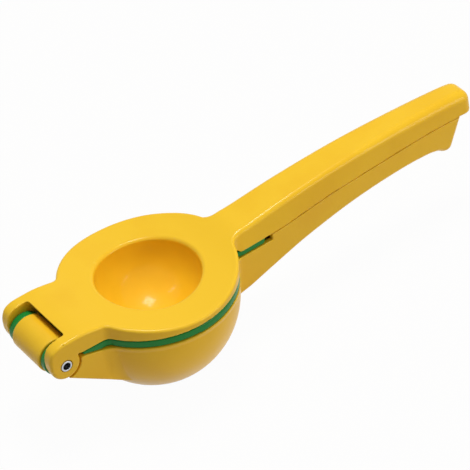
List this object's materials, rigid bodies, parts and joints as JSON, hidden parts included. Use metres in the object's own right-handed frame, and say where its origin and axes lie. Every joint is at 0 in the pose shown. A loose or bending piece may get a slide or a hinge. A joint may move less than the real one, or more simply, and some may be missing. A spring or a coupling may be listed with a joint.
{
  "type": "hinged citrus squeezer",
  "caption": "Hinged citrus squeezer shown closed: round pressing cup and long hooded handle over a smaller insert cup and a deep slotted cup, joined by a hollow hinge pin.",
  "frame": {"origin": "on the hinge axis, midway between the two ears", "axes": "+X runs along the handles, +Y along the hinge axis, +Z points out of the mouths of the cups"},
  "size_m": [0.2179, 0.0726, 0.058],
  "materials": {
    "yellow_enamel": "glossy enamel",
    "green_enamel": "glossy enamel",
    "steel": "satin"
  },
  "bodies": {
    "lower": {"bowl_arm": "yellow_enamel"},
    "middle": {"insert": "green_enamel"},
    "upper": {"press_arm": "yellow_enamel", "hinge_pin": "steel"}
  },
  "joints": [
    {"name": "press_hinge", "type": "hinge", "parent": "lower", "child": "upper", "pos_m": [0, 0, 0], "axis": [0, -1, 0], "range_deg": [0, 100]},
    {"name": "insert_hinge", "type": "hinge", "parent": "lower", "child": "middle", "pos_m": [0, 0, 0], "axis": [0, -1, 0], "range_deg": [0, 50]}
  ],
  "couplings": [
    {"joint": "insert_hinge", "follows": "press_hinge", "ratio": 0.5}
  ]
}
